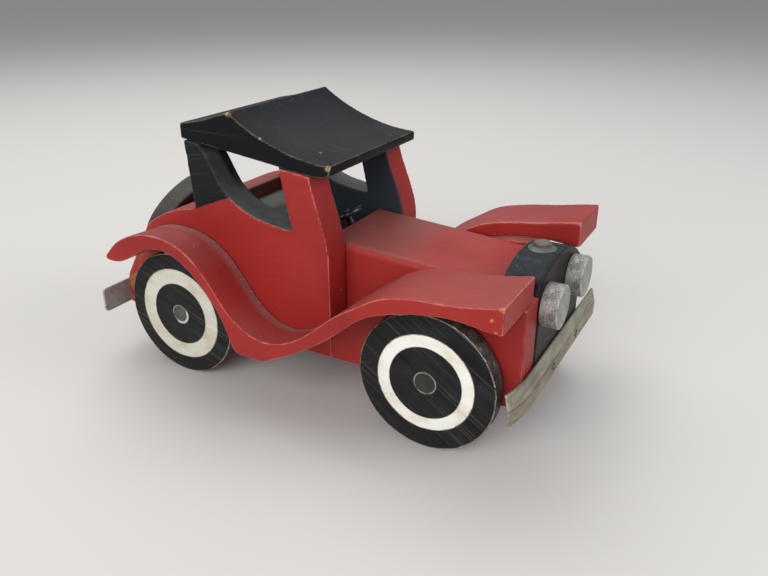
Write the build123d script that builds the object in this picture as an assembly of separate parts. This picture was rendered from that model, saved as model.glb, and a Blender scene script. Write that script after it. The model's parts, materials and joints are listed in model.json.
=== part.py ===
from build123d import *
from math import asin, degrees
import os

# Toy roadster sawn from boards and dowels. Millimetres, +X forward, +Y to the
# driver's left, +Z up. Z = 0 is the floor under the wheels, X = 0 is half-way
# between the headlight faces and the spare wheel, Y = 0 is the plane of symmetry.

# Sawn and fitted by hand, so some pieces differ a little from left to right.
LEFT, RIGHT = 1, -1

# ---- driving dimensions -------------------------------------------------------
WHEELBASE = 162.0
FRONT_X = 85.68                    # front axle
REAR_X = FRONT_X - WHEELBASE       # rear axle
AXLE_Z = 38.0
WHEEL_R = 38.0
WHEEL_T = 10.0
WHEEL_FACE_Y = 61.0                # outer faces of the four wheels
WHEEL_EDGE = 0.7                   # softened rim
FRONT_AXLE_R = 5.5
REAR_AXLE_R = 4.8
RUN_GAP = 0.08                     # radial play of the axles in their bores

CORE_Y = 31.0                      # half-width of the middle blocks
SIDE_Y = 49.0                      # outer faces of the side boards
FENDER_IN_Y = {LEFT: 41.0, RIGHT: 38.0}
FENDER_OUT_Y = 79.0
BOTTOM_Z = 29.0
FLOOR_TOP_Z = 41.0

NOSE_X = FRONT_X + 45.5            # front ends of the side boards and radiator
RAD_BACK_X = FRONT_X + 26.0
DASH_X = FRONT_X - 76.0
PILLAR_X = {LEFT: FRONT_X - 60.5, RIGHT: FRONT_X - 63.0}    # front edges of the side panels
FENDER_NOSE_X = FRONT_X + 44.9
SEAT_FRONT_X = FRONT_X - 128.0
DECK_X = FRONT_X - 147.0           # front end of the rear block
TAIL_X = FRONT_X - 216.5

HOOD_BACK_Z = 92.0
HOOD_FRONT_Z = 84.5
HOOD_EDGE_R = 4.0
SEAT_TOP_Z = 95.5
SEAT_THICK = 11.0

# The radiator also covers the end of the left front board; (Y, Z) along its rounded top.
RAD_CROWN = [(-CORE_Y, 90.5), (0, 96.5), (46.0, 78.0)]
RAD_SHOULDER_R = {LEFT: 10.0, RIGHT: 8.0}
RAD_TOP_Z = 96.5
RAD_EDGE = 1.0

RAD_FACE_X = FRONT_X + 46.0

LAMP_R = 11.4
LAMP_T = 9.0
LAMP_Y = {LEFT: 22.4, RIGHT: 20.7}
LAMP_Z = 76.0
LAMP_FACE_X = RAD_FACE_X + LAMP_T
LAMP_PEG_R = 4.0
PEG_DEPTH = 9.0
LAMP_PEG_END = 4.5

CAP_X = FRONT_X + 35.4
CAP_Y = 0.8
CAP_R = 4.6
CAP_WASHER_R = 8.0

ROOF_Y = 47.5
ROOF_BACK_X = FRONT_X - 159.0
ROOF_FRONT_X = FRONT_X - 62.0
ROOF_UNDER_BACK_Z = 141.1
ROOF_UNDER_SLOPE = -0.123

BUMPER_T = 1.5
FRONT_BUMPER_RIGHT_Y = -64.5       # the strip sits off centre, its left end further out
FRONT_BUMPER_LEFT_Y = 77.0
FRONT_BUMPER_BEND_Y = -42.0        # the right end is bent back from here
FRONT_BUMPER_BEND_R = 74.0
FRONT_BUMPER_TOP_Z = 46.2
FRONT_BUMPER_CREASE_Z = 38.0
FRONT_BUMPER_LOW_Z = 29.2
FRONT_BUMPER_LEAN = 2.3            # how far the crease stands ahead of the top edge
FRONT_NAILS = [(-6.4, 34.0), (36.0, 34.3)]    # (Y, Z)
REAR_BUMPER_Y = 69.0
REAR_BUMPER_Z = (29.6, 45.0)
NAIL_R = 0.9
NAIL_HEAD_R = 2.0
NAIL_HEAD_H = 0.9

SPARE_R = 33.0
SPARE_T = 11.0
SPARE_LEAN = 31.5                  # degrees from upright, top leaning forward
SPARE_PEG_R = 4.0
SPARE_PEG_DEPTH = 26.0
SPARE_SEAT = (FRONT_X - 200.1, 73.2)    # centre of the face that lies on the tail

STEER_C = (FRONT_X - 84.6, 5.5, 93.4)   # middle of the steering wheel
STEER_RAKE = 30.0
STEER_R = 10.5
STEER_T = 3.0
STEER_GAP = 0.3
POST_R = 2.1
POST_LENGTH = 27.0
STEER_SCREW_R = 1.2
STEER_SCREW_HEAD_R = 2.6


# ---- profiles, in the XZ plane ------------------------------------------------
def car(points):
    """Points given from the front axle, moved to the part's own origin."""
    return [(FRONT_X + x, z) for x, z in points]


def xz(points):
    return [Vector(x, 0, z) for x, z in points]


def curve(points):
    return Spline(*xz(points))


def line(points):
    return Polyline(*xz(points))


def slab(edges, y0, y1):
    """Solid between y0 and y1 over the closed XZ outline made by the edges."""
    face = make_face(edges)
    solid = extrude(face, amount=y1 - y0, dir=(0, 1, 0))
    return solid.moved(Location((0, y0, 0)))


def block(x0, x1, y0, y1, z0, z1):
    box = Box(x1 - x0, y1 - y0, z1 - z0, align=(Align.MIN, Align.MIN, Align.MIN))
    return box.moved(Location((x0, y0, z0)))


def rod(point, direction, radius, length):
    plane = Plane(origin=point, z_dir=direction)
    return extrude(plane * Circle(radius), amount=length)


def mirrored(solid):
    return mirror(solid, about=Plane.XZ)


def axle_bore(x, radius):
    return rod((x, -FENDER_OUT_Y, AXLE_Z), (0, 1, 0), radius + RUN_GAP, 2 * FENDER_OUT_Y)


def roof_under_z(x):
    return ROOF_UNDER_BACK_Z + ROOF_UNDER_SLOPE * (x - ROOF_BACK_X)


# Leaning axis of the spare wheel, pointing back and up out of the tail.
SPARE_PLANE = Plane(
    origin=(SPARE_SEAT[0], 0, SPARE_SEAT[1]),
    x_dir=(0, 1, 0),
    z_dir=Vector(-1, 0, 0).rotate(Axis.Y, SPARE_LEAN),
)


def tail_point(distance):
    """Point of the flat stretch of the tail, measured up the slope from the spare's centre."""
    up = Vector(0, 0, 1).rotate(Axis.Y, SPARE_LEAN)
    return (SPARE_SEAT[0] + distance * up.X, SPARE_SEAT[1] + distance * up.Z)


def tail_edges(start):
    """Deck and tail outline, from the start point back and down to the bottom corner."""
    top = tail_point(14.0)
    low = tail_point(-28.0)
    deck = curve([start] + car([(-161, 100.2), (-172, 97.2), (-183, 92.0)]) + [top])
    slope = line([top, low])
    corner = line([low, (TAIL_X, low[1] - 5.0), (TAIL_X, BOTTOM_Z)])
    return [deck, slope, corner]


# Fender: sawn from one thick board, an arch over each wheel and a dip between.
FENDER_TOP = [(-197.2, 74.6), (-181, 88.5), (-158, 94), (-136, 88.5), (-120, 73), (-108, 57.5),
              (-88, 47.5), (-66, 53.5), (-40, 74), (-29, 81), (-18, 87.4), (-6, 90.9)]
# The front stretch is thicker on the left.
FENDER_TOP_FRONT = {LEFT: [(5, 93.0), (20, 95.0), (32, 97.2), (45.5, 99.0)],
                    RIGHT: [(5, 92.4), (20, 93.3), (32, 95.0), (45.5, 97.7)]}
# How much lower the top is at the inner side of the board than at the outer side.
FENDER_TILT = [1.0, 2.5, 5.5, 8.0, 9.5, 9.0, 7.5, 5.0, 2.0, 1.0, 0.5, 0, 0, 0, 0, 0]
FENDER_REAR_ARCH = car([(-196.2, 72.6), (-183, 74.2), (-169, 82.0), (-156, 86), (-140, 82),
                        (-126, 70), (-114, 53), (-109, 40)])
FENDER_DIP = car([(-102, 35), (-87, 35)])
FENDER_FRONT_ARCH = car([(-87, 35), (-66, 45.5), (-43, 61), (-24, 76.0), (-8, 81.8), (8, 85.1),
                         (20, 86.0), (32, 84.9), (45.5, 83.6)])


# ---- body ---------------------------------------------------------------------
def hood_block():
    outline = line([(DASH_X, BOTTOM_Z), (RAD_BACK_X, BOTTOM_Z), (RAD_BACK_X, HOOD_FRONT_Z),
                    (DASH_X, HOOD_BACK_Z), (DASH_X, BOTTOM_Z)])
    solid = slab([outline], -CORE_Y, CORE_Y)
    long_edges = [e for e in solid.edges() if e.center().Z > 80 and abs(e.tangent_at(0.5).X) > 0.9]
    solid = fillet(long_edges, HOOD_EDGE_R)
    solid = solid - axle_bore(FRONT_X, FRONT_AXLE_R)
    return solid - steering_post() - steering_screw()


def floor_board():
    return block(DECK_X, DASH_X, -CORE_Y, CORE_Y, BOTTOM_Z, FLOOR_TOP_Z)


def rear_block():
    start = car([(-147, 103.3)])[0]
    edges = tail_edges(start)
    closing = line([(TAIL_X, BOTTOM_Z), (DECK_X, BOTTOM_Z), start])
    solid = slab(edges + [closing], -CORE_Y, CORE_Y)
    return solid - axle_bore(REAR_X, REAR_AXLE_R) - spare_peg()


def seat_box():
    return block(DECK_X, SEAT_FRONT_X, -CORE_Y, CORE_Y, FLOOR_TOP_Z, SEAT_TOP_Z - SEAT_THICK)


def seat_cushion():
    pad = block(DECK_X, SEAT_FRONT_X, -CORE_Y, CORE_Y, SEAT_TOP_Z - SEAT_THICK, SEAT_TOP_Z)
    front_top = pad.edges().filter_by(Axis.Y).group_by(Axis.Z)[-1].sort_by(Axis.X)[-1]
    return fillet(front_top, 2.5)


def side_panel(side):
    ahead = PILLAR_X[side] - PILLAR_X[RIGHT]
    pillar_top_front = (FRONT_X - 73.5, roof_under_z(FRONT_X - 73.5))
    pillar_top_back = (FRONT_X - 92.5, roof_under_z(FRONT_X - 92.5))
    quarter_top_front = (FRONT_X - 146.0, roof_under_z(FRONT_X - 146.0))
    quarter_top_back = (FRONT_X - 156.0, roof_under_z(FRONT_X - 156.0))
    belt = car([(-152.5, 102)])[0]
    sill = car([(-85.6, 99.6)])[0]
    corner = (PILLAR_X[side], 86)
    front = line([(PILLAR_X[side], BOTTOM_Z), corner])
    pillar_front = curve([corner] + car([(-64.6 + 0.8 * ahead, 98), (-68.6 + 0.4 * ahead, 112)]) + [pillar_top_front])
    pillar_top = line([pillar_top_front, pillar_top_back])
    pillar_back = curve([pillar_top_back] + car([(-90.2, 121)]) + [sill])
    window = curve([sill] + car([(-98, 101.0), (-109, 103.1), (-120, 107.5), (-129.5, 114.5),
                                 (-138, 128)]) + [quarter_top_front])
    quarter_top = line([quarter_top_front, quarter_top_back])
    quarter_back = line([quarter_top_back, belt])
    bottom = line([(TAIL_X, BOTTOM_Z), (PILLAR_X[side], BOTTOM_Z)])
    edges = [front, pillar_front, pillar_top, pillar_back, window, quarter_top, quarter_back]
    solid = slab(edges + tail_edges(belt) + [bottom], CORE_Y, SIDE_Y)
    return solid - axle_bore(REAR_X, REAR_AXLE_R) - roof_brads() - rear_nails()


def front_board(side):
    under = curve(FENDER_FRONT_ARCH)
    first = FENDER_FRONT_ARCH[0]
    last = FENDER_FRONT_ARCH[-1]
    rest = line([last, (last[0], BOTTOM_Z), (first[0], BOTTOM_Z), first])
    solid = slab([under, rest], CORE_Y, SIDE_Y)
    nose = RAD_BACK_X if side == LEFT else NOSE_X
    solid = solid & block(PILLAR_X[side], nose, CORE_Y, SIDE_Y, BOTTOM_Z, 120)
    return solid - axle_bore(FRONT_X, FRONT_AXLE_R)


def fender_face(side, y, drop):
    """The fender's outline at one face of the board, its top lowered by drop times the tilt."""
    outline = FENDER_TOP + FENDER_TOP_FRONT[side]
    top_points = car([(x, z - drop * tilt) for (x, z), tilt in zip(outline, FENDER_TILT)])
    tip = line([FENDER_REAR_ARCH[0], top_points[0]])
    top = curve(top_points)
    end = line([top_points[-1], FENDER_FRONT_ARCH[-1]])
    front_arch = curve(FENDER_FRONT_ARCH)
    dip = line(FENDER_DIP)
    heel = ThreePointArc(*xz([FENDER_REAR_ARCH[-1], (FRONT_X - 107.0, 36.6), FENDER_DIP[0]]))
    rear_arch = curve(FENDER_REAR_ARCH)
    face = make_face([tip, top, end, front_arch, dip, heel, rear_arch])
    return face.moved(Location((0, y, 0)))


def fender(side):
    inner = FENDER_IN_Y[side]
    solid = loft([fender_face(side, inner, 1), fender_face(side, FENDER_OUT_Y, 0)], ruled=True)
    notch = block(TAIL_X - 10, PILLAR_X[side], inner - 1, SIDE_Y, 0, 140)
    return solid - notch - block(FENDER_NOSE_X, FENDER_NOSE_X + 5, 0, 100, 0, 140)


def roof():
    back_top = (ROOF_BACK_X, 149.5)
    ridge = car([(-124.5, 158.5)])[0]
    front_top = (ROOF_FRONT_X, 137.3)
    front_low = (ROOF_FRONT_X, 132.2)
    flare = (FRONT_X - 72.0, roof_under_z(FRONT_X - 72.0))
    back_low = (ROOF_BACK_X, roof_under_z(ROOF_BACK_X))
    rear_dish = curve([back_top] + car([(-144, 152.6), (-133, 155.7)]) + [ridge])
    top_dish = curve([ridge] + car([(-112, 150.8), (-97, 144.2), (-80, 139.3)]) + [front_top])
    front = line([front_top, front_low])
    visor = ThreePointArc(*xz([front_low, (FRONT_X - 67.0, 130.7), flare]))
    under = line([flare, back_low, back_top])
    solid = slab([rear_dish, top_dish, front, visor, under], -ROOF_Y, ROOF_Y)
    return solid - roof_brads()


# ---- front of the car ---------------------------------------------------------
def radiator_block():
    def yz(y, z):
        return Vector(RAD_BACK_X, y, z)

    first, last = RAD_CROWN[0], RAD_CROWN[-1]
    crown = ThreePointArc(*[yz(*point) for point in RAD_CROWN])
    rest = Polyline(yz(*last), yz(last[0], BOTTOM_Z), yz(first[0], BOTTOM_Z), yz(*first))
    solid = extrude(make_face([crown, rest]), amount=RAD_FACE_X - RAD_BACK_X, dir=(1, 0, 0))
    for side in (LEFT, RIGHT):
        shoulder = [e for e in solid.edges().filter_by(Axis.X)
                    if e.center().Z > BOTTOM_Z + 1 and side * e.center().Y > CORE_Y - 1]
        solid = fillet(shoulder, RAD_SHOULDER_R[side])
    rim = [e for e in solid.edges() if e.center().X > RAD_FACE_X - 0.01 and e.center().Z > BOTTOM_Z + 1]
    solid = chamfer(rim, RAD_EDGE) - front_nails()
    for side in (LEFT, RIGHT):
        solid = solid - lamp_peg(side)
    return solid - cap_screw() - cap_washer()


def headlight(side):
    back = (LAMP_FACE_X - LAMP_T, side * LAMP_Y[side], LAMP_Z)
    disc = rod(back, (1, 0, 0), LAMP_R, LAMP_T)
    face_edge = disc.edges().filter_by(GeomType.CIRCLE).sort_by(Axis.X)[-1]
    disc = fillet(face_edge, 0.5)
    return disc - lamp_peg(side)


def lamp_peg(side):
    start = (RAD_FACE_X - PEG_DEPTH, side * LAMP_Y[side], LAMP_Z)
    length = PEG_DEPTH + LAMP_PEG_END
    return rod(start, (1, 0, 0), LAMP_PEG_R, length)


def cap_washer():
    base = RAD_TOP_Z - 0.6
    cone = Cone(CAP_WASHER_R, CAP_R + 0.4, 1.9, align=(Align.CENTER, Align.CENTER, Align.MIN))
    return cone.moved(Location((CAP_X, CAP_Y, base))) - rod((CAP_X, CAP_Y, base - 1), (0, 0, 1), 2.0, 5.0)


def cap_screw():
    base = RAD_TOP_Z - 0.6 + 1.9
    shank = rod((CAP_X, CAP_Y, base - 20.0), (0, 0, 1), 2.0, 20.0)
    head = rod((CAP_X, CAP_Y, base), (0, 0, 1), CAP_R, 1.9)
    head = fillet(head.edges().filter_by(GeomType.CIRCLE).sort_by(Axis.Z)[-1], 0.7)
    return shank + head


def front_bumper():
    """Creased strip: its upper half leans forward to the crease, its lower half hangs straight."""
    back = RAD_FACE_X
    crease = back + FRONT_BUMPER_LEAN
    y0 = FRONT_BUMPER_BEND_Y
    section = Polyline(
        (back, y0, FRONT_BUMPER_TOP_Z), (crease, y0, FRONT_BUMPER_CREASE_Z), (crease, y0, FRONT_BUMPER_LOW_Z),
        (crease + BUMPER_T, y0, FRONT_BUMPER_LOW_Z), (crease + BUMPER_T, y0, FRONT_BUMPER_CREASE_Z),
        (back + BUMPER_T, y0, FRONT_BUMPER_TOP_Z), (back, y0, FRONT_BUMPER_TOP_Z))
    face = make_face(section)
    straight = extrude(face, amount=FRONT_BUMPER_LEFT_Y - y0, dir=(0, 1, 0))
    turn = Axis((back - FRONT_BUMPER_BEND_R, y0, 0), (0, 0, -1))
    angle = degrees(asin((y0 - FRONT_BUMPER_RIGHT_Y) / FRONT_BUMPER_BEND_R))
    bent = revolve(face, turn, angle)
    return straight + bent - front_nails()


def front_nails():
    """The two nails that hold the front bumper to the radiator."""
    nails = []
    seat = RAD_FACE_X + FRONT_BUMPER_LEAN + BUMPER_T
    for y, z in FRONT_NAILS:
        shank = rod((RAD_FACE_X - 12, y, z), (1, 0, 0), NAIL_R, seat - RAD_FACE_X + 12)
        head = rod((seat - 0.1, y, z), (1, 0, 0), NAIL_HEAD_R, NAIL_HEAD_H)
        nails.append(shank + head)
    return Compound(children=nails)


def rear_bumper():
    z0, z1 = REAR_BUMPER_Z
    strip = block(TAIL_X - BUMPER_T, TAIL_X, -REAR_BUMPER_Y, REAR_BUMPER_Y, z0, z1)
    ends = strip.edges().filter_by(Axis.X)
    strip = fillet(ends, 2.5)
    return strip - rear_nails() - mirrored(rear_nails())


def rear_nails():
    """The nail that holds one end of the rear bumper to its side panel."""
    zm = sum(REAR_BUMPER_Z) / 2
    shank = rod((TAIL_X - BUMPER_T, 42.0, zm), (1, 0, 0), NAIL_R, 12 + BUMPER_T)
    head = rod((TAIL_X - BUMPER_T - NAIL_HEAD_H, 42.0, zm), (1, 0, 0), NAIL_HEAD_R, NAIL_HEAD_H)
    return Compound(children=[shank + head])


def roof_brads():
    """Headless brads through the roof into the tops of one side panel's pillars."""
    brads = []
    for x in (FRONT_X - 83.0, FRONT_X - 151.0):
        z = roof_under_z(x)
        brads.append(rod((x, 40.0, z - 14), (0, 0, 1), NAIL_R, 20))
    return Compound(children=brads)


def pair(group):
    return Compound(children=list(group.solids()) + list(mirrored(group).solids()))


# ---- running gear -------------------------------------------------------------
def disc_wheel(x, axle_r):
    wheel = rod((x, WHEEL_FACE_Y - WHEEL_T, AXLE_Z), (0, 1, 0), WHEEL_R, WHEEL_T)
    wheel = chamfer(wheel.edges().filter_by(GeomType.CIRCLE), WHEEL_EDGE)
    return wheel - rod((x, 0, AXLE_Z), (0, 1, 0), axle_r, WHEEL_FACE_Y + 1)


def axle(x, radius):
    return rod((x, -WHEEL_FACE_Y, AXLE_Z), (0, 1, 0), radius, 2 * WHEEL_FACE_Y)


# ---- spare wheel --------------------------------------------------------------
def spare_wheel():
    wheel = extrude(SPARE_PLANE * Circle(SPARE_R), amount=SPARE_T)
    wheel = chamfer(wheel.edges().filter_by(GeomType.CIRCLE), WHEEL_EDGE)
    return wheel - spare_peg()


def spare_peg():
    peg = extrude(SPARE_PLANE * Circle(SPARE_PEG_R), amount=SPARE_T)
    return peg + extrude(SPARE_PLANE * Circle(SPARE_PEG_R), amount=-SPARE_PEG_DEPTH)


# ---- steering -----------------------------------------------------------------
STEER_PLANE = Plane(
    origin=STEER_C,
    x_dir=(0, 1, 0),
    z_dir=Vector(0, 0, 1).rotate(Axis.Y, -STEER_RAKE),
)


def steering_wheel():
    disc = extrude(STEER_PLANE.offset(-STEER_T / 2) * Circle(STEER_R), amount=STEER_T)
    disc = fillet(disc.edges().filter_by(GeomType.CIRCLE), 1.2)
    hole = extrude(STEER_PLANE.offset(-STEER_T) * Circle(STEER_SCREW_R + 0.05), amount=2 * STEER_T)
    return disc - hole


def steering_post():
    """Tube between the steering wheel and the dash, held by the screw through it."""
    top = STEER_PLANE.offset(-STEER_T / 2 - STEER_GAP)
    return extrude(top * Circle(POST_R), amount=-POST_LENGTH) - steering_screw()


def steering_screw():
    seat = STEER_PLANE.offset(STEER_T / 2 + STEER_GAP)
    shank = extrude(seat * Circle(STEER_SCREW_R), amount=-POST_LENGTH)
    head = extrude(seat * Circle(STEER_SCREW_HEAD_R), amount=1.1)
    head = fillet(head.edges().filter_by(GeomType.CIRCLE).sort_by(Axis.Z)[-1], 0.6)
    return shank + head


# ---- the nodes ----------------------------------------------------------------
def nodes():
    front_wheel = disc_wheel(FRONT_X, FRONT_AXLE_R)
    rear_wheel = disc_wheel(REAR_X, REAR_AXLE_R)
    return {
        "hood_block": hood_block(),
        "floor_board": floor_board(),
        "rear_block": rear_block(),
        "seat_box": seat_box(),
        "seat_cushion": seat_cushion(),
        "left_side_panel": side_panel(LEFT),
        "right_side_panel": mirrored(side_panel(RIGHT)),
        "left_front_board": front_board(LEFT),
        "right_front_board": mirrored(front_board(RIGHT)),
        "left_fender": fender(LEFT),
        "right_fender": mirrored(fender(RIGHT)),
        "roof": roof() - mirrored(roof_brads()),
        "roof_brads": pair(roof_brads()),
        "radiator_block": radiator_block(),
        "radiator_cap_washer": cap_washer(),
        "radiator_cap_screw": cap_screw(),
        "left_headlight": headlight(LEFT),
        "right_headlight": headlight(RIGHT),
        "left_headlight_peg": lamp_peg(LEFT),
        "right_headlight_peg": lamp_peg(RIGHT),
        "front_bumper": front_bumper(),
        "front_bumper_nails": front_nails(),
        "rear_bumper": rear_bumper(),
        "rear_bumper_nails": pair(rear_nails()),
        "front_axle": axle(FRONT_X, FRONT_AXLE_R),
        "left_front_wheel": front_wheel,
        "right_front_wheel": mirrored(front_wheel),
        "rear_axle": axle(REAR_X, REAR_AXLE_R),
        "left_rear_wheel": rear_wheel,
        "right_rear_wheel": mirrored(rear_wheel),
        "spare_wheel": spare_wheel(),
        "spare_wheel_peg": spare_peg(),
        "steering_wheel": steering_wheel(),
        "steering_post": steering_post(),
        "steering_screw": steering_screw(),
    }


os.makedirs("parts", exist_ok=True)
for name, solid in nodes().items():
    export_step(solid, f"parts/{name}.step")
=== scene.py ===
import json
import math
import bpy
import bmesh
import numpy as np
from mathutils import Matrix, Vector, noise
from mathutils.bvhtree import BVHTree


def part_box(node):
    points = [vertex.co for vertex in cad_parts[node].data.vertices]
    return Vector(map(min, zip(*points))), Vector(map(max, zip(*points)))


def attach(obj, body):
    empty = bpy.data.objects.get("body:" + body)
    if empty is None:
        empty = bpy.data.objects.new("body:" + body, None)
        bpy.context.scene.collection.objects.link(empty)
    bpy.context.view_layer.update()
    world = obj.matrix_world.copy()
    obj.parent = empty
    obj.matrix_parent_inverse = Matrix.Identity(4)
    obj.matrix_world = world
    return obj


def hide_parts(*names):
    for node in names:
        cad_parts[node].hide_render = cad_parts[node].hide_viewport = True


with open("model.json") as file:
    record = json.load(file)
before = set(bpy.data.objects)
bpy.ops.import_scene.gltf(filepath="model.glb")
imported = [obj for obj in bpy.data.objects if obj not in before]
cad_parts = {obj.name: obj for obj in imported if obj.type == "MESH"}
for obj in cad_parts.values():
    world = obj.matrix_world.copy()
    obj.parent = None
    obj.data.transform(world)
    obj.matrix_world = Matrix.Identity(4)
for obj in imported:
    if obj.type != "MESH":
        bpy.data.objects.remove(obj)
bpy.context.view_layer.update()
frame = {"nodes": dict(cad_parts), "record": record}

MM = 0.001
FRONT_AXLE = (Vector(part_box("front_axle")[0]) + Vector(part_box("front_axle")[1])) / 2
REAR_AXLE = (Vector(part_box("rear_axle")[0]) + Vector(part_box("rear_axle")[1])) / 2
AX = FRONT_AXLE.x                     # shapes below are given from the front axle, in mm

scene = bpy.context.scene
scene.view_settings.view_transform = "Standard"


def car(x, y, z):
    """Point given from the front axle in mm, in the row frame in metres."""
    return Vector((AX + x * MM, y * MM, z * MM))


# ---- camera -------------------------------------------------------------------
def aim(location, forward):
    forward = Vector(forward).normalized()
    right = forward.cross(Vector((0, 0, 1))).normalized()
    up = right.cross(forward)
    turn = Matrix((right, up, -forward)).transposed()
    return Matrix.Translation(location) @ turn.to_4x4()


YAW = math.radians(28.9)              # turned left from straight across the car
PITCH = math.radians(24.36)           # looking down
CAMERA_AT = car(135.55, -348.61, 234.07)
LENS = 34.67
camera = bpy.data.objects.new("camera", bpy.data.cameras.new("camera"))
camera.data.lens = LENS
camera.data.sensor_width = 36
camera.data.clip_start = 0.01
camera.matrix_world = aim(
    CAMERA_AT,
    (-math.sin(YAW) * math.cos(PITCH), math.cos(YAW) * math.cos(PITCH), -math.sin(PITCH)))
scene.collection.objects.link(camera)
scene.camera = camera


# ---- light --------------------------------------------------------------------
def soft_light(name, place, target, size, power, color=(1, 1, 1)):
    light = bpy.data.lights.new(name, "AREA")
    light.shape = "RECTANGLE"
    light.size, light.size_y = size
    light.energy = power
    light.color = color
    lamp = bpy.data.objects.new(name, light)
    place, target = Vector(place), Vector(target)
    lamp.matrix_world = aim(place, target - place)
    scene.collection.objects.link(lamp)


soft_light("ceiling", (-0.55, 0.45, 1.25), (0, 0, 0.05), (1.3, 1.1), 12, (1.0, 0.99, 0.97))
soft_light("window", (1.3, 0.3, 0.9), (0, 0, 0.07), (0.9, 0.8), 8, (0.96, 0.98, 1.0))
soft_light("room", (0.1, -1.6, 0.9), (0, 0, 0.06), (1.7, 1.1), 25)
world = bpy.data.worlds.new("studio")
world.use_nodes = True
world.node_tree.nodes["Background"].inputs["Color"].default_value = (0.93, 0.95, 1.0, 1)
world.node_tree.nodes["Background"].inputs["Strength"].default_value = 0.38
scene.world = world


# ---- node materials -----------------------------------------------------------
class Net:
    """One procedural material; the helpers return sockets."""

    def __init__(self, name):
        self.mat = bpy.data.materials.new(name)
        self.mat.use_nodes = True
        self.tree = self.mat.node_tree
        self.tree.nodes.clear()
        out = self.node("ShaderNodeOutputMaterial")
        self.bsdf = self.node("ShaderNodeBsdfPrincipled")
        self.put(out.inputs[0], self.bsdf.outputs[0])
        self.coord = self.node("ShaderNodeTexCoord").outputs["Object"]
        split = self.node("ShaderNodeSeparateXYZ")
        self.put(split.inputs[0], self.coord)
        self.x, self.y, self.z = split.outputs
        normal = self.node("ShaderNodeSeparateXYZ")
        self.put(normal.inputs[0], self.node("ShaderNodeNewGeometry").outputs["Normal"])
        self.nx, self.ny, self.nz = normal.outputs

    def node(self, kind, **settings):
        made = self.tree.nodes.new(kind)
        for key, value in settings.items():
            setattr(made, key, value)
        return made

    def put(self, socket, value):
        if isinstance(value, bpy.types.NodeSocket):
            self.tree.links.new(value, socket)
        elif isinstance(value, tuple) and len(value) == 3 and socket.type == "RGBA":
            socket.default_value = (*value, 1)
        else:
            socket.default_value = value

    def math(self, operation, *values):
        made = self.node("ShaderNodeMath", operation=operation)
        for socket, value in zip(made.inputs, values):
            self.put(socket, value)
        return made.outputs[0]

    def step(self, value, low, high):
        """Smooth rise from 0 to 1 as value goes from low to high."""
        made = self.node("ShaderNodeMapRange", interpolation_type="SMOOTHSTEP")
        for socket, given in zip(made.inputs, (value, low, high, 0.0, 1.0)):
            self.put(socket, given)
        return made.outputs[0]

    def noise(self, scale, detail=3.0, rough=0.55, stretch=(1, 1, 1), turn=(0, 0, 0), warp=0.0, shift=0.0):
        """Noise with scale in features per metre, drawn out where stretch is under 1."""
        turned_by = self.node("ShaderNodeMapping")
        self.put(turned_by.inputs["Vector"], self.coord)
        turned_by.inputs["Rotation"].default_value = turn
        mapping = self.node("ShaderNodeMapping")
        self.put(mapping.inputs["Vector"], turned_by.outputs[0])
        mapping.inputs["Location"].default_value = (shift, shift * 0.7, shift * 1.3)
        mapping.inputs["Scale"].default_value = stretch
        made = self.node("ShaderNodeTexNoise")
        self.put(made.inputs["Vector"], mapping.outputs[0])
        for key, value in (("Scale", scale), ("Detail", detail), ("Roughness", rough), ("Distortion", warp)):
            made.inputs[key].default_value = value
        return made.outputs["Fac"]

    def dots(self, scale, size, shift=0.0):
        """1 inside small scattered specks."""
        mapping = self.node("ShaderNodeMapping")
        self.put(mapping.inputs["Vector"], self.coord)
        mapping.inputs["Location"].default_value = (shift, shift, shift)
        made = self.node("ShaderNodeTexVoronoi")
        self.put(made.inputs["Vector"], mapping.outputs[0])
        made.inputs["Scale"].default_value = scale
        return self.step(made.outputs["Distance"], size, size * 0.6)

    def near(self, x, y, z, radius):
        """1 at the middle of a spot given from the front axle in mm, 0 outside its radius."""
        apart = self.node("ShaderNodeVectorMath", operation="DISTANCE")
        self.put(apart.inputs[0], self.coord)
        apart.inputs[1].default_value = car(x, y, z)
        return self.step(apart.outputs["Value"], radius * MM, radius * 0.35 * MM)

    def mix(self, factor, first, second):
        made = self.node("ShaderNodeMix", data_type="RGBA")
        self.put(made.inputs["Factor"], factor)
        self.put([s for s in made.inputs if s.name == "A" and s.type == "RGBA"][0], first)
        self.put([s for s in made.inputs if s.name == "B" and s.type == "RGBA"][0], second)
        return [s for s in made.outputs if s.type == "RGBA"][0]

    def attribute(self, name):
        return self.node("ShaderNodeAttribute", attribute_name=name).outputs["Fac"]

    def times(self, *values):
        out = values[0]
        for value in values[1:]:
            out = self.math("MULTIPLY", out, value)
        return out

    def plus(self, *values):
        out = values[0]
        for value in values[1:]:
            out = self.math("ADD", out, value)
        return out

    def finish(self, color, rough, height, depth_mm, **constants):
        self.put(self.bsdf.inputs["Base Color"], color)
        self.put(self.bsdf.inputs["Roughness"], rough)
        bump = self.node("ShaderNodeBump")
        bump.inputs["Strength"].default_value = 0.8
        bump.inputs["Distance"].default_value = depth_mm * MM
        self.put(bump.inputs["Height"], height)
        self.put(self.bsdf.inputs["Normal"], bump.outputs[0])
        for key, value in constants.items():
            self.put(self.bsdf.inputs[key.replace("_", " ")], value)
        return self.mat


RED = (0.335, 0.024, 0.02)
RED_DEEP = (0.26, 0.018, 0.016)
RED_WORN = (0.56, 0.2, 0.16)
DUST_ON_RED = (0.3, 0.115, 0.105)
BLACK = (0.005, 0.0055, 0.0065)
BLACK_BLUE = (0.0085, 0.0105, 0.0135)
DUST_ON_BLACK = (0.042, 0.048, 0.054)
WORN_BLACK = (0.14, 0.12, 0.095)
BARE = (0.5, 0.25, 0.11)
TAN = (0.5, 0.36, 0.2)

GRAIN_X = (0.07, 1, 1)                # grain running along X
GRAIN_Z = (1, 1, 0.07)


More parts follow.
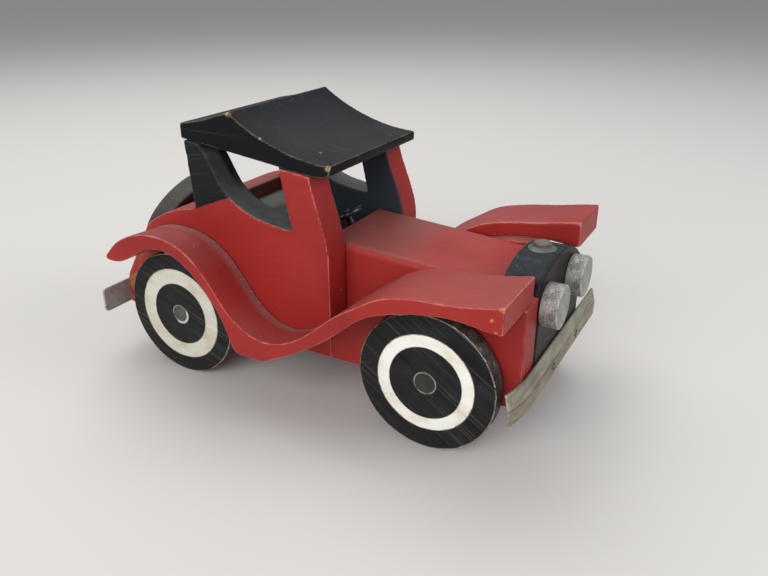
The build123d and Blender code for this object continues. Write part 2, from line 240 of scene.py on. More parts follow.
def painted_wood(name, base, deep, worn, bare, dust, grain=GRAIN_X, dusty=0.6, wear=0.5, gloss=0.42,
                 relief=1.0, zones=None, spots=(), shift=0.0, shine=0.25, streaks=0.0):
    """Brush-painted board: soft mottling, grain under the paint, rubbed edges, dust, specks.

    zones paints parts of the board another way; it returns the paint, rubbed-edge and dust colours.
    spots are worn places, (x, y, z, radius) in mm from the front axle.
    """
    n = Net(name)
    cloud = n.noise(16, 4, 0.55, shift=shift)
    grain_fine = n.noise(700, 3, 0.6, grain, warp=0.3, shift=shift)
    grain_wide = n.noise(190, 4, 0.6, grain, warp=0.6, shift=shift + 3)
    color = n.mix(n.step(cloud, 0.35, 0.68), base, deep)
    color = n.mix(n.times(n.step(grain_wide, 0.5, 0.68), 0.35), color, deep)
    long_grain = tuple(g if g == 1 else 0.03 for g in grain)
    lines = n.step(n.noise(330, 2, 0.5, long_grain, warp=0.2, shift=shift + 6), 0.6, 0.7)
    color = n.mix(n.times(lines, streaks), color, worn)
    if zones:
        color, worn, dust = zones(n, color, worn, dust)
    up = n.step(n.nz, 0.25, 0.95)
    settle = n.step(n.noise(28, 4, 0.6, shift=shift + 7), 0.25, 0.75)
    powder = n.step(n.noise(1300, 3, 0.7, shift=shift + 8), 0.42, 0.66)
    corner = n.attribute("crevice")
    film = n.times(up, n.plus(0.4, n.times(settle, 0.6)), dusty)
    dust_amount = n.math("MINIMUM", n.plus(film, n.times(corner, 0.6)), 0.85)
    color = n.mix(dust_amount, color, dust)
    color = n.mix(n.times(corner, powder, 0.85), color, (0.4, 0.33, 0.29))
    rub = n.attribute("edge")
    patchy = n.math("SUBTRACT", n.noise(120, 5, 0.7, shift=shift + 11), 0.5)
    rubbed = n.step(n.plus(rub, n.times(patchy, 0.9)), 0.95 - 0.5 * wear, 1.2 - 0.5 * wear)
    color = n.mix(n.times(rubbed, 0.62), color, worn)
    through = n.step(n.plus(rub, n.times(patchy, 1.9)), 1.5 - 0.5 * wear, 1.6 - 0.5 * wear)
    for x, y, z, radius in spots:
        place_worn = n.times(n.near(x, y, z, radius), n.step(n.noise(420, 4, 0.75, shift=x), 0.42, 0.52))
        through = n.math("MAXIMUM", through, place_worn)
    color = n.mix(n.times(through, 0.85), color, bare)
    specks = n.times(n.dots(120, 0.09, shift), n.step(n.noise(40, 2, shift=shift + 2), 0.5, 0.6))
    color = n.mix(n.times(specks, 0.6), color, (0.03, 0.018, 0.016))
    scratch = n.step(n.noise(130, 2, 0.4, (0.12, 1.4, 1.4), (0.5, 0.6, 0.4), 1.2, shift + 5), 0.735, 0.76)
    color = n.mix(n.times(scratch, 0.4), color, worn)
    rough = n.plus(gloss, n.times(dust_amount, 0.35), n.times(rubbed, 0.1), n.times(n.step(cloud, 0.3, 0.7), 0.08))
    height = n.plus(n.times(grain_fine, 0.35 * relief), n.times(grain_wide, 0.55 * relief),
                    n.times(lines, 0.3 * relief), n.times(n.noise(420, 3, 0.6, shift=shift + 1), 0.25),
                    n.times(through, -0.4))
    return n.finish(color, rough, height, 0.16, Specular_IOR_Level=shine)


# ---- meshes -------------------------------------------------------------------
CREVICE = 0.009


def merged(node):
    """The CAD node's shape as one closed skin, in a mesh of its own."""
    mesh = frame["nodes"][node].data.copy()
    work = bmesh.new()
    work.from_mesh(mesh)
    bmesh.ops.remove_doubles(work, verts=work.verts, dist=0.00001)
    work.to_mesh(mesh)
    work.free()
    return mesh


def fine_skin(node, voxel):
    """The CAD node's shape as an even skin of small quads."""
    holder = bpy.data.objects.new("work", merged(node))
    scene.collection.objects.link(holder)
    remesh = holder.modifiers.new("remesh", "REMESH")
    remesh.mode = "VOXEL"
    remesh.voxel_size = voxel
    graph = bpy.context.evaluated_depsgraph_get()
    mesh = bpy.data.meshes.new_from_object(holder.evaluated_get(graph))
    bpy.data.objects.remove(holder)
    return mesh


def tree_of(node):
    work = bmesh.new()
    work.from_mesh(frame["nodes"][node].data)
    tree = BVHTree.FromBMesh(work)
    work.free()
    return tree


BODY_WALLS = [tree_of(node) for node in ("hood_block", "left_side_panel", "right_side_panel")]


def arrays(mesh):
    points = np.empty(len(mesh.vertices) * 3)
    mesh.vertices.foreach_get("co", points)
    edges = np.empty(len(mesh.edges) * 2, dtype=np.int64)
    mesh.edges.foreach_get("vertices", edges)
    return points.reshape(-1, 3), edges.reshape(-1, 2)


def relax(points, edges, rounds):
    """Each point moved halfway to the middle of its neighbours, that many times."""
    a, b = edges[:, 0], edges[:, 1]
    count = np.bincount(edges.ravel(), minlength=len(points))
    for _ in range(rounds):
        total = np.stack([np.bincount(a, points[b, k], len(points)) + np.bincount(b, points[a, k], len(points))
                          for k in range(3)], axis=1)
        points = points + 0.5 * (total / count[:, None] - points)
    return points


def normals_of(mesh):
    normals = np.empty(len(mesh.vertices) * 3)
    mesh.vertex_normals.foreach_get("vector", normals)
    return normals.reshape(-1, 3)


def wave(points, size, seed):
    """Smooth noise from -1 to 1 with features of that size, in metres."""
    offset = Vector((seed * 7.13, seed * 3.7, seed * 5.9))
    return np.array([noise.noise(Vector(p) / size + offset) for p in points])


def set_attribute(mesh, name, values):
    data = mesh.attributes.new(name, "FLOAT", "POINT")
    data.data.foreach_set("value", np.ascontiguousarray(values, dtype=np.float32))


def crevices(points, normals):
    """1 where an upward-facing spot lies against the body, 0 from 9 mm away on."""
    near = np.zeros(len(points))
    for k in np.nonzero(normals[:, 2] > 0.25)[0]:
        for tree in BODY_WALLS:
            distance = tree.find_nearest(Vector(points[k]), CREVICE)[3]
            if distance is not None:
                near[k] = max(near[k], 1 - distance / CREVICE)
    return near


def snapped(points, tree):
    """Each point moved to the nearest place on the CAD surface."""
    return np.array([tree.find_nearest(Vector(p))[0] for p in points])


def hand_made(mesh, voxel, rounding, uneven, seed, node):
    """Rounds and dents the edges, makes the faces slightly uneven, and marks what is exposed."""
    points, edges = arrays(mesh)
    points = snapped(relax(points, edges, 2), tree_of(node))
    mesh.vertices.foreach_set("co", points.ravel())
    mesh.update()
    normals = normals_of(mesh)
    bulge = np.einsum("ij,ij->i", points - relax(points, edges, 7), normals) / voxel
    edge = np.clip(bulge / np.percentile(bulge, 99), 0, 1)
    dents = np.clip(wave(points, 0.006, seed) - 0.15, 0, 1) * np.clip(wave(points, 0.02, seed + 9) + 0.3, 0, 1)
    moved = relax(points, edges, rounding)
    moved -= normals * (edge * dents * 0.7 * voxel)[:, None]
    moved -= normals * ((wave(points, 0.035, seed + 4) + 1) * 0.5 * uneven)[:, None]
    mesh.vertices.foreach_set("co", moved.ravel())
    set_attribute(mesh, "edge", edge)
    if "fender" in node:
        set_attribute(mesh, "crevice", crevices(points, normals))
    mesh.polygons.foreach_set("use_smooth", [True] * len(mesh.polygons))
    mesh.update()


def place(name, mesh, body, material, nodes, slot=None):
    piece = bpy.data.objects.new(name, mesh)
    scene.collection.objects.link(piece)
    mesh.materials.clear()
    mesh.materials.append(material)
    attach(piece, body)
    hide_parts(*nodes)
    return piece


def node_slot(node):
    """The material slot the record gives that CAD node."""
    return next(part["material_slot"] for part in frame["record"]["subparts"] if part["node"] == node)


def board(node, material, voxel=0.85, rounding=1, uneven=0.12, seed=1):
    """A sawn piece, or one bent from strip."""
    mesh = fine_skin(node, voxel * MM)
    hand_made(mesh, voxel * MM, rounding, uneven * MM, seed, node)
    return place(node + "_wood", mesh, "body", material, [node], node_slot(node))


def turned(profile, segments):
    """Mesh turned about local Z from (radius, height) in mm, joined at the axis where radius is 0."""
    work = bmesh.new()
    rings = []
    for radius, height in profile:
        if radius == 0:
            rings.append([work.verts.new((0, 0, height * MM))])
            continue
        angles = [2 * math.pi * k / segments for k in range(segments)]
        rings.append([work.verts.new((radius * MM * math.cos(a), radius * MM * math.sin(a), height * MM))
                      for a in angles])
    for inner, outer in zip(rings, rings[1:]):
        for k in range(segments):
            nxt = (k + 1) % segments
            if len(inner) == 1:
                work.faces.new((inner[0], outer[k], outer[nxt]))
            elif len(outer) == 1:
                work.faces.new((inner[k], outer[0], inner[nxt]))
            else:
                work.faces.new((inner[k], outer[k], outer[nxt], inner[nxt]))
    bmesh.ops.recalc_face_normals(work, faces=work.faces)
    mesh = bpy.data.meshes.new("turned")
    work.to_mesh(mesh)
    work.free()
    return mesh


# ---- paints -------------------------------------------------------------------
def panel_zones(n, color, worn, dust):
    """Black quarter pillar, dark inside, dusty sawn window edge with painted light and painted shade on it, scuffed
    lower back corner.
    """
    x_mm = n.math("MULTIPLY", n.math("SUBTRACT", n.x, AX), 1000)
    z_mm = n.math("MULTIPLY", n.z, 1000)
    side = n.math("ABSOLUTE", n.y)
    wobble = n.times(n.math("SUBTRACT", n.noise(90, 3), 0.5), 3.0)
    line = n.plus(n.times(n.plus(x_mm, 152.0), 0.42), 102.0, wobble)
    quarter = n.times(n.step(n.math("SUBTRACT", z_mm, line), -0.4, 0.4), n.step(x_mm, -112.0, -118.0),
                      n.math("MAXIMUM", n.step(z_mm, 105.0, 106.0), n.step(x_mm, -153.6, -153.2)))
    color = n.mix(quarter, color, (0.0045, 0.006, 0.0078))
    streak = n.step(n.noise(420, 2, 0.5, (0.03, 1, 1), (0, 0.18, 0), 0.2, 8.0), 0.54, 0.66)
    color = n.mix(n.times(quarter, streak, 0.2), color, (0.06, 0.065, 0.07))
    sawn = n.times(n.step(n.math("ABSOLUTE", n.ny), 0.6, 0.4), n.step(z_mm, 98.5, 99.5),
                   n.step(x_mm, -149.0, -146.0), n.step(x_mm, -83.0, -86.0))
    # Sawn window edge: grey dust, painted lighter low down where the edge turns up into the light, and painted shade
    # higher up: darker towards the roof, with the inner lip under the roof and the top above 134 mm painted near
    # black as the roof's shadow.
    dusty_lit_low = n.mix(n.step(n.noise(120, 4, 0.6, shift=2.0), 0.35, 0.7), (0.135, 0.17, 0.158), (0.09, 0.112, 0.105))
    dusty_shaded_high = n.mix(n.step(n.noise(150, 4, 0.6, shift=3.0), 0.35, 0.7), (0.085, 0.084, 0.077), (0.05, 0.051, 0.05))
    sawn_dust_and_shade = n.mix(n.step(z_mm, 106.0, 122.0), dusty_lit_low, dusty_shaded_high)
    lip_shadow = n.times(n.step(z_mm, 110.0, 124.0), n.step(side, 0.0385, 0.0362))
    sawn_dust_and_shade = n.mix(lip_shadow, sawn_dust_and_shade, BLACK_BLUE)
    sawn_dust_and_shade = n.mix(n.step(z_mm, 134.0, 139.0), sawn_dust_and_shade, BLACK)
    color = n.mix(n.times(sawn, 0.93), color, sawn_dust_and_shade)
    inside = n.times(n.step(side, 0.0322, 0.0314), n.step(z_mm, 40.0, 41.0),
                     n.step(x_mm, -150.0, -147.0), n.step(x_mm, -59.5, -61.5))
    color = n.mix(inside, color, (0.034, 0.044, 0.053))
    scuffed = n.times(n.step(n.noise(75, 5, 0.7, shift=4.4), 0.46, 0.53), n.step(x_mm, -190.0, -204.0),
                      n.step(z_mm, 74.0, 68.0))
    color = n.mix(n.times(scuffed, 0.8), color, (0.3, 0.13, 0.045))
    not_red = n.math("MAXIMUM", quarter, n.math("MAXIMUM", inside, sawn))
    return color, n.mix(not_red, worn, (0.05, 0.05, 0.048)), n.mix(not_red, dust, (0.062, 0.07, 0.068))


def rear_zones(n, color, worn, dust):
    """Darker brown-red on the saw-cut front face of the deck: painted shade."""
    x_mm = n.math("MULTIPLY", n.math("SUBTRACT", n.x, AX), 1000)
    # painted shade: the forward-facing front of the deck is darkened to brown-red
    front = n.times(n.step(n.nx, 0.5, 0.8), n.step(x_mm, -150.0, -148.5))
    return n.mix(n.times(front, 0.9), color, (0.14, 0.05, 0.035)), worn, dust


def radiator_zones(n, color, worn, dust):
    """Mottled bluish top, browner front face."""
    front = n.step(n.nx, 0.6, 0.9)
    patina = n.step(n.noise(110, 4, 0.65, shift=4.0), 0.48, 0.66)
    color = n.mix(n.times(patina, 0.5), color, (0.03, 0.05, 0.05))
    color = n.mix(n.times(n.step(n.noise(240, 4, 0.7, shift=6.0), 0.56, 0.64), 0.5), color, (0.1, 0.1, 0.098))
    return n.mix(n.times(front, 0.9), color, (0.017, 0.0125, 0.011)), worn, dust


def hood_zones(n, color, worn, dust):
    """Duller towards the windscreen."""
    x_mm = n.math("MULTIPLY", n.math("SUBTRACT", n.x, AX), 1000)
    back = n.times(n.step(n.nz, 0.5, 0.9), n.step(n.plus(x_mm, n.times(n.noise(30, 4), 30.0)), 0.0, -30.0))
    return n.mix(n.times(back, 0.5), color, (0.17, 0.085, 0.07)), worn, dust


def red(name, **more):
    return painted_wood(name, RED, RED_DEEP, RED_WORN, BARE, DUST_ON_RED, **{"shine": 0.2, **more})


def black(name, **more):
    more = {"shine": 0.07, "streaks": 0.08, **more}
    return painted_wood(name, BLACK_BLUE, BLACK, WORN_BLACK, TAN, DUST_ON_BLACK, **more)


board("hood_block", red("red_hood", dusty=0.25, zones=hood_zones), seed=1)
board("rear_block", red("red_tail", dusty=0.75, zones=rear_zones, shift=1.7), seed=2)
side_red = red("red_sides", dusty=0.5, zones=panel_zones, shift=2.9)
for side, seed in (("left", 3), ("right", 4)):
    board(side + "_side_panel", side_red, seed=seed)
front_red = red("red_front_boards", dusty=0.5, shift=5.1)
for side, seed in (("left", 5), ("right", 6)):
    board(side + "_front_board", front_red, seed=seed)
fender_red = red("red_fenders", dusty=0.38, wear=0.6, shift=8.3, spots=[
    (44.2, -78.8, 97.2, 2.8), (39.5, -79, 90.5, 1.4), (41.5, -79, 84.2, 2.0), (44, 78.5, 98, 2.0)])
for side, seed in (("left", 7), ("right", 8)):
    board(side + "_fender", fender_red, voxel=0.95, uneven=0.2, seed=seed)
roof_black = black("black_roof", dusty=0.1, wear=0.58, gloss=0.42, relief=1.6, shift=1.1, shine=0.09, spots=[
    (-124.5, -47.5, 158.3, 3.2), (-62.5, -47.4, 136.8, 2.8), (-78, -30, 139.6, 1.6), (-104, -47.5, 147.3, 1.6)])
board("roof", roof_black, seed=9)
board("radiator_block", black("black_radiator", dusty=0.6, wear=0.75, gloss=0.38, grain=GRAIN_Z, zones=radiator_zones,
                              relief=1.8, shine=0.08), voxel=0.7, seed=10)
board("floor_board", black("black_floor", dusty=0.5, gloss=0.55), voxel=1.6, seed=11)
board("seat_box", black("black_seat_box", dusty=0.3, gloss=0.55), voxel=1.6, seed=12)
grey_seat = painted_wood("grey_seat", (0.25, 0.26, 0.235), (0.17, 0.18, 0.16), (0.35, 0.34, 0.3), TAN,
                         (0.29, 0.3, 0.27), grain=(1, 0.07, 1), dusty=0.7, gloss=0.6)
board("seat_cushion", grey_seat, seed=13)


# ---- wheels -------------------------------------------------------------------
WHEEL_R, WHEEL_T = 38, 10             # mm
FRONT_BORE_R, REAR_BORE_R = 5.5, 4.8


def wheel_paint(name, ring_out, ring_in, ring_color, radius, thick, grain_angle, worn_hub):
    """Black disc with a hand-painted ring, grain lines, chipped rim."""
    n = Net(name)
    turn = (0, 0, grain_angle)
    r_mm = n.math("MULTIPLY", n.math("SQRT", n.plus(n.times(n.x, n.x), n.times(n.y, n.y))), 1000)
    wobble = n.times(n.math("SUBTRACT", n.noise(55, 2, 0.4), 0.5), 0.9)
    ragged = n.times(n.math("SUBTRACT", n.noise(600, 3, 0.6), 0.5), 0.4)
    r_brush = n.plus(r_mm, wobble, ragged)
    outer_face = n.step(n.z, 0.0035, 0.0042)
    grain_fine = n.noise(900, 3, 0.65, (0.035, 1, 0.4), turn, 0.15)
    grain_wide = n.noise(230, 4, 0.65, (0.05, 1, 0.4), turn, 0.4, 2.0)
    color = n.mix(n.step(grain_wide, 0.4, 0.7), (0.014, 0.0145, 0.015), (0.007, 0.007, 0.0072))
    lines = n.step(n.noise(420, 2, 0.5, (0.02, 1, 0.4), turn, 0.1, 5.0), 0.61, 0.69)
    hairlines = n.step(n.noise(1000, 2, 0.5, (0.012, 1, 0.4), turn, 0.05, 7.0), 0.6, 0.7)
    color = n.mix(n.times(lines, 0.26), color, (0.1, 0.095, 0.085))
    color = n.mix(n.times(hairlines, 0.3), color, (0.14, 0.135, 0.12))
    tread = n.step(r_mm, radius - 0.9, radius - 0.3)
    color = n.mix(n.times(tread, n.step(n.noise(210, 4, 0.7, shift=13.0), 0.3, 0.7), 0.85), color, (0.1, 0.09, 0.08))
    dust = n.times(n.step(n.noise(45, 4, 0.6, shift=3.0), 0.42, 0.75), 0.22)
    color = n.mix(dust, color, DUST_ON_BLACK)
    ring = n.times(n.step(r_brush, ring_in - 0.35, ring_in + 0.35), n.step(r_brush, ring_out + 0.35, ring_out - 0.35),
                   outer_face)
    shade = n.mix(n.step(n.noise(70, 4, 0.6, shift=6.0), 0.4, 0.75), ring_color,
                  tuple(c * f for c, f in zip(ring_color, (0.8, 0.74, 0.62))))
    shade = n.mix(n.times(n.step(grain_wide, 0.6, 0.72), 0.35), shade, (0.4, 0.35, 0.25))
    border = n.times(n.step(n.math("ABSOLUTE", n.math("SUBTRACT", r_brush, ring_out)), 0.55, 0.15), outer_face,
                     n.step(n.noise(180, 3, shift=1.0), 0.45, 0.6))
    color = n.mix(ring, color, shade)
    color = n.mix(n.times(border, 0.6), color, (0.16, 0.1, 0.05))
    chip_noise = n.noise(260, 5, 0.75, shift=9.0)
    rim = n.step(r_mm, radius - 2.2, radius - 0.1)
    near_face = n.step(n.math("ABSOLUTE", n.z), 0.0042 * thick / 10, 0.0047 * thick / 10)
    chips = n.times(n.step(n.plus(rim, chip_noise), 1.5, 1.56), near_face)
    color = n.mix(n.times(chips, 0.9), color, (0.55, 0.5, 0.42))
    line_rim = n.times(n.step(n.math("ABSOLUTE", n.math("SUBTRACT", r_mm, radius - 0.5)), 0.35, 0.1),
                       n.step(n.noise(120, 4, 0.7, shift=12.0), 0.4, 0.55))
    color = n.mix(n.times(line_rim, 0.65), color, (0.36, 0.31, 0.24))
    hub_line = n.times(n.step(n.math("ABSOLUTE", n.math("SUBTRACT", r_brush, 5.9 - 0.6 * worn_hub)), 0.55, 0.2),
                       n.step(n.noise(300, 3, 0.6, shift=4.0), 0.3, 0.5))
    color = n.mix(n.times(hub_line, 0.75), color, (0.33, 0.29, 0.23))
    if worn_hub:
        arc = n.times(n.step(r_brush, 6.6, 6.0), n.step(n.math("SUBTRACT", n.x, n.y), 0.001, 0.004))
        color = n.mix(n.times(arc, 0.85), color, (0.55, 0.53, 0.47))
    rough = n.plus(0.42, n.times(dust, 0.6), n.times(ring, 0.12), n.times(grain_fine, 0.12))
    height = n.plus(n.times(grain_fine, 0.5), n.times(grain_wide, 0.5), n.times(lines, -0.35), n.times(ring, 0.3),
                    n.times(chips, -0.5))
    return n.finish(color, rough, height, 0.2, Specular_IOR_Level=0.12)


def disc_profile(radius, thick, bore, softened=0.9):
    """Half-section of a sawn disc, from the bore at the outer face round to the bore at the inner one."""
    half = thick / 2
    faces = [bore + (radius - softened - bore) * k / 34 for k in range(35)]
    arc = [(radius - softened + softened * math.sin(a), half - softened + softened * math.cos(a))
           for a in (math.pi / 2 * k / 5 for k in range(1, 6))]
    side = [(radius, half - softened - (thick - 2 * softened) * k / 8) for k in range(1, 8)]
    back_arc = [(r, -z) for r, z in reversed(arc)]
    top = [(r, half) for r in faces]
    low = [(r, -half) for r in reversed(faces)]
    return top + arc + side + back_arc + low + [top[0]]


def roughen_disc(mesh, radius, half, seed, grain_angle):
    """Slightly out of round, faces not quite flat, raised grain, nicks in the rim."""
    points, _ = arrays(mesh)
    r = np.hypot(points[:, 0], points[:, 1]) / MM
    angle = np.arctan2(points[:, 1], points[:, 0])
    cross = points[:, 0] * -math.sin(grain_angle) + points[:, 1] * math.cos(grain_angle)
    along = points[:, 0] * math.cos(grain_angle) + points[:, 1] * math.sin(grain_angle)
    streak = np.array([noise.noise(Vector((a * 22, c * 520, seed))) for a, c in zip(along, cross)])
    rim = np.clip((r - (radius - 3)) / 3, 0, 1)
    nick = np.array([noise.noise(Vector((math.cos(t) * 9, math.sin(t) * 9, z * 420 + seed)))
                     for t, z in zip(angle, points[:, 2])])
    shrink = 1 - rim * (np.clip(nick - 0.12, 0, 1) * 0.013 + 0.0012)
    points[:, 0] *= shrink
    points[:, 1] *= shrink
    face = np.sign(points[:, 2]) * (np.abs(points[:, 2]) > (half - 0.3) * MM)
    points[:, 2] -= face * (0.06 + 0.07 * streak) * MM
    mesh.vertices.foreach_set("co", points.ravel())
    mesh.polygons.foreach_set("use_smooth", [True] * len(mesh.polygons))
    mesh.update()


def wheel(node, body, side, center, bore, material, seed, grain_angle):
    mesh = turned(disc_profile(WHEEL_R, WHEEL_T, bore), 240)
    roughen_disc(mesh, WHEEL_R, WHEEL_T / 2, seed, grain_angle)
    piece = bpy.data.objects.new(node + "_disc", mesh)
    scene.collection.objects.link(piece)
    mesh.materials.append(material)
    low, high = (Vector(v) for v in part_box(node))
    y = (low.y + high.y) / 2
    piece.matrix_world = Matrix.Translation((center.x, y, center.z)) @ Matrix.Rotation(
        math.radians(-90 * side), 4, "X")
    bpy.context.view_layer.update()
    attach(piece, body)
    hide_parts(node)


front_paint = wheel_paint("wheel_front", 26.8, 20.2, (0.83, 0.83, 0.77), WHEEL_R, WHEEL_T, 0.6, False)
rear_paint = wheel_paint("wheel_rear", 28.5, 19.4, (0.6, 0.585, 0.5), WHEEL_R, WHEEL_T, 0.35, True)
for side_name, side in (("left", 1), ("right", -1)):
    wheel(side_name + "_front_wheel", "front_wheelset", side, FRONT_AXLE, FRONT_BORE_R, front_paint, 3 + side, 0.85)
    wheel(side_name + "_rear_wheel", "rear_wheelset", side, REAR_AXLE, REAR_BORE_R, rear_paint, 8 + side, 0.35)


# ---- simple materials for the turned and metal pieces --------------------------
def wood_end(name, base, dark, light):
    """Dowel: fine end grain and a dirty, dented surface."""
    n = Net(name)
    speck = n.noise(1500, 3, 0.6)
    cloud = n.noise(160, 4, 0.6, shift=2.0)
    color = n.mix(n.step(cloud, 0.35, 0.7), base, dark)
    color = n.mix(n.times(n.step(speck, 0.55, 0.7), 0.5), color, light)
    return n.finish(color, n.plus(0.5, n.times(cloud, 0.2)), n.plus(speck, cloud), 0.1)


def metal(name, base, tarnish, dirt, rough, stretch=(1, 1, 1), metallic=1.0, depth=0.06):
    """Dull metal: brushed scratches, tarnish clouds, dirt specks."""
    n = Net(name)
    cloud = n.noise(70, 5, 0.65)
    brush = n.noise(1200, 3, 0.6, stretch, shift=1.0)
    color = n.mix(n.step(cloud, 0.38, 0.66), base, tarnish)
    color = n.mix(n.times(n.step(n.noise(260, 5, 0.7, shift=5.0), 0.56, 0.68), 0.8), color, dirt)
    color = n.mix(n.times(n.step(brush, 0.58, 0.7), 0.35), color, base)
    roughness = n.plus(rough, n.times(n.step(cloud, 0.3, 0.7), 0.15), n.times(brush, 0.12))
    height = n.plus(n.times(brush, 0.5), cloud)
    return n.finish(color, roughness, height, depth, Metallic=metallic)


dowel = wood_end("dowel_end", (0.018, 0.018, 0.018), (0.01, 0.01, 0.011), (0.06, 0.055, 0.045))
rear_dowel = wood_end("rear_dowel_end", (0.075, 0.078, 0.07), (0.04, 0.04, 0.036), (0.14, 0.13, 0.11))
nail = metal("nail_metal", (0.42, 0.37, 0.3), (0.2, 0.16, 0.12), (0.08, 0.06, 0.045), 0.35)
rear_strip = metal("rear_strip_metal", (0.43, 0.4, 0.385), (0.3, 0.27, 0.26), (0.17, 0.14, 0.13), 0.5,
                   (1, 1, 0.1), 0.3, 0.1)
cap_metal = metal("cap_metal", (0.21, 0.16, 0.118), (0.09, 0.08, 0.07), (0.04, 0.036, 0.03), 0.5, metallic=0.5)
washer_metal = metal("washer_metal", (0.15, 0.165, 0.155), (0.07, 0.078, 0.075), (0.03, 0.032, 0.03), 0.5,
                     metallic=0.3)
glossy_black = metal("steering_black", (0.012, 0.013, 0.015), (0.02, 0.02, 0.022), (0.05, 0.048, 0.045), 0.16,
                     metallic=0.0)
dark_post = metal("steering_post_black", (0.02, 0.021, 0.023), (0.012, 0.012, 0.013), (0.03, 0.03, 0.03), 0.12,
                  metallic=0.6)


def creased_strip():
    """Old sheet strip: greenish upper fold, browner lower fold, dirt along the crease."""
    n = Net("strip_metal")
    cloud = n.noise(60, 5, 0.65)
    long_marks = n.noise(420, 3, 0.6, (1, 0.06, 1), warp=0.3)
    upper = n.step(n.plus(n.z, n.times(n.math("SUBTRACT", n.noise(40, 3, shift=2.0), 0.5), 0.0016)), 0.0374, 0.0386)
    high = n.mix(n.step(cloud, 0.36, 0.66), (0.3, 0.285, 0.22), (0.2, 0.19, 0.145))
    low = n.mix(n.step(cloud, 0.36, 0.66), (0.32, 0.26, 0.18), (0.2, 0.16, 0.11))
    color = n.mix(upper, low, high)
    color = n.mix(n.times(n.step(long_marks, 0.5, 0.66), 0.5), color, (0.1, 0.085, 0.062))
    color = n.mix(n.times(n.step(long_marks, 0.42, 0.3), 0.35), color, (0.4, 0.37, 0.3))
    crease = n.times(n.step(n.math("ABSOLUTE", n.math("SUBTRACT", n.z, 0.038)), 0.0009, 0.0003),
                     n.step(n.noise(90, 3, shift=5.0), 0.35, 0.55))
    color = n.mix(n.times(crease, 0.6), color, (0.07, 0.055, 0.04))
    color = n.mix(n.times(n.step(n.noise(330, 5, 0.7, shift=4.0), 0.58, 0.66), 0.7), color, (0.11, 0.085, 0.06))
    color = n.mix(n.times(n.step(n.attribute("edge"), 0.5, 0.8), 0.7), color, (0.42, 0.38, 0.29))
    rough = n.plus(0.42, n.times(cloud, 0.2))
    return n.finish(color, rough, n.plus(n.times(long_marks, 0.6), cloud), 0.12, Metallic=0.35)


def silver_paint():
    """Silvered dowel: open end grain on the flat faces, gritty dark speckles round the side."""
    n = Net("silver_paint")
    on_face = n.step(n.math("ABSOLUTE", n.z), 0.0038, 0.0042)
    r_mm = n.math("MULTIPLY", n.math("SQRT", n.plus(n.times(n.x, n.x), n.times(n.y, n.y))), 1000)
    grain = n.noise(400, 3, 0.6, (0.1, 1, 1), warp=0.4)
    grit = n.noise(1250, 4, 0.7, shift=2.0)
    cloud = n.noise(170, 4, 0.65, shift=3.0)
    color = n.mix(n.step(cloud, 0.35, 0.65), (0.36, 0.35, 0.325), (0.23, 0.222, 0.2))
    color = n.mix(n.times(on_face, n.step(grain, 0.46, 0.62), 0.6), color, (0.17, 0.16, 0.15))
    beside = n.math("SUBTRACT", 1.0, on_face)
    color = n.mix(n.times(beside, n.step(grit, 0.48, 0.57), n.step(cloud, 0.25, 0.6), 0.8), color,
                  (0.08, 0.076, 0.067))
    color = n.mix(n.times(beside, n.step(grit, 0.42, 0.36), 0.6), color, (0.62, 0.61, 0.57))
    rim = n.times(n.step(r_mm, 10.4, 10.9), on_face, n.step(n.noise(160, 3, shift=6.0), 0.35, 0.6))
    color = n.mix(n.times(rim, 0.6), color, (0.62, 0.6, 0.56))
    height = n.plus(n.times(on_face, grain), n.times(beside, grit), n.times(cloud, 0.5))
    return n.finish(color, n.plus(0.36, n.times(cloud, 0.2)), height, 0.35, Metallic=0.3)


strip = creased_strip()
silver = silver_paint()
spare_black = painted_wood("black_spare", (0.1, 0.097, 0.09), (0.058, 0.056, 0.052), (0.2, 0.18, 0.15), TAN,
                           (0.11, 0.108, 0.1), grain=(1, 0.07, 1), dusty=0.85, gloss=0.5, shine=0.12,
                           streaks=0.2)


board("front_bumper", strip, voxel=0.55, uneven=0.1, seed=14)
board("rear_bumper", rear_strip, voxel=0.55, uneven=0.1, seed=15)


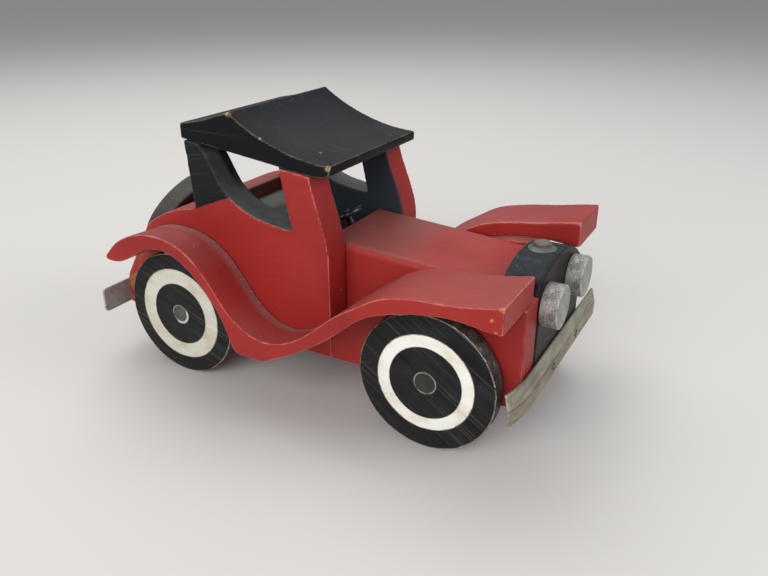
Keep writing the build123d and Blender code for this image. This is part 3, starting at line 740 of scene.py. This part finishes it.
def lathe_piece(node, body, along, profile, material, seed, segments=160, tilted=False):
    """A turned piece whose axis runs along that direction through the middle of its CAD node.

    For a tilted piece the mesh itself is turned, so its own box stays tight.
    """
    mesh = turned(profile, segments)
    points, _ = arrays(mesh)
    bumps = wave(points, 0.003, seed)
    radial = points * np.array([1, 1, 0])
    points -= radial * ((bumps + 1) * 0.006)[:, None]
    mesh.vertices.foreach_set("co", points.ravel())
    mesh.polygons.foreach_set("use_smooth", [True] * len(mesh.polygons))
    mesh.materials.append(material)
    low, high = (Vector(v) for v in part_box(node))
    piece = bpy.data.objects.new(node + "_turned", mesh)
    scene.collection.objects.link(piece)
    turn = Vector((0, 0, 1)).rotation_difference(Vector(along)).to_matrix().to_4x4()
    if tilted:
        mesh.transform(turn)
        turn = Matrix.Identity(4)
    piece.matrix_world = Matrix.Translation((low + high) / 2) @ turn
    bpy.context.view_layer.update()
    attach(piece, body)
    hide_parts(node)


LAMP_R, LAMP_T = 11.4, 9              # mm
LAMP_PROFILE = [(0, LAMP_T / 2)] + disc_profile(LAMP_R, LAMP_T, 1, 0.6)[:-1] + [(0, -LAMP_T / 2)]
SPARE_R, SPARE_T, SPARE_BORE_R = 33, 11, 4.0
SPARE_TILT = math.radians(31.5)
SPARE_AXIS = Vector((-math.cos(SPARE_TILT), 0, math.sin(SPARE_TILT)))
for side in ("left", "right"):
    lathe_piece(side + "_headlight", "body", (1, 0, 0), LAMP_PROFILE, silver, seed=20)
lathe_piece("spare_wheel", "body", SPARE_AXIS, disc_profile(SPARE_R, SPARE_T, SPARE_BORE_R), spare_black,
            seed=21, segments=240, tilted=True)

KEPT = {
    "front_axle": dowel, "rear_axle": rear_dowel, "spare_wheel_peg": dowel,
    "left_headlight_peg": dowel, "right_headlight_peg": dowel,
    "front_bumper_nails": nail, "rear_bumper_nails": nail,
    "radiator_cap_washer": washer_metal, "radiator_cap_screw": cap_metal, "roof_brads": nail,
    "steering_wheel": glossy_black, "steering_post": dark_post, "steering_screw": glossy_black,
}
for node, material in KEPT.items():
    piece = frame["nodes"][node]
    for own in piece.material_slots:
        own.material = material


# ---- floor --------------------------------------------------------------------
floor_mesh = bpy.data.meshes.new("floor")
floor_mesh.from_pydata([(-20, -20, 0), (20, -20, 0), (20, 20, 0), (-20, 20, 0)], [], [(0, 1, 2, 3)])
floor = bpy.data.objects.new("floor", floor_mesh)
scene.collection.objects.link(floor)
pale = Net("pale_floor")
floor_mesh.materials.append(pale.finish((0.62, 0.6, 0.575), 0.75, pale.noise(90, 3), 0.02))
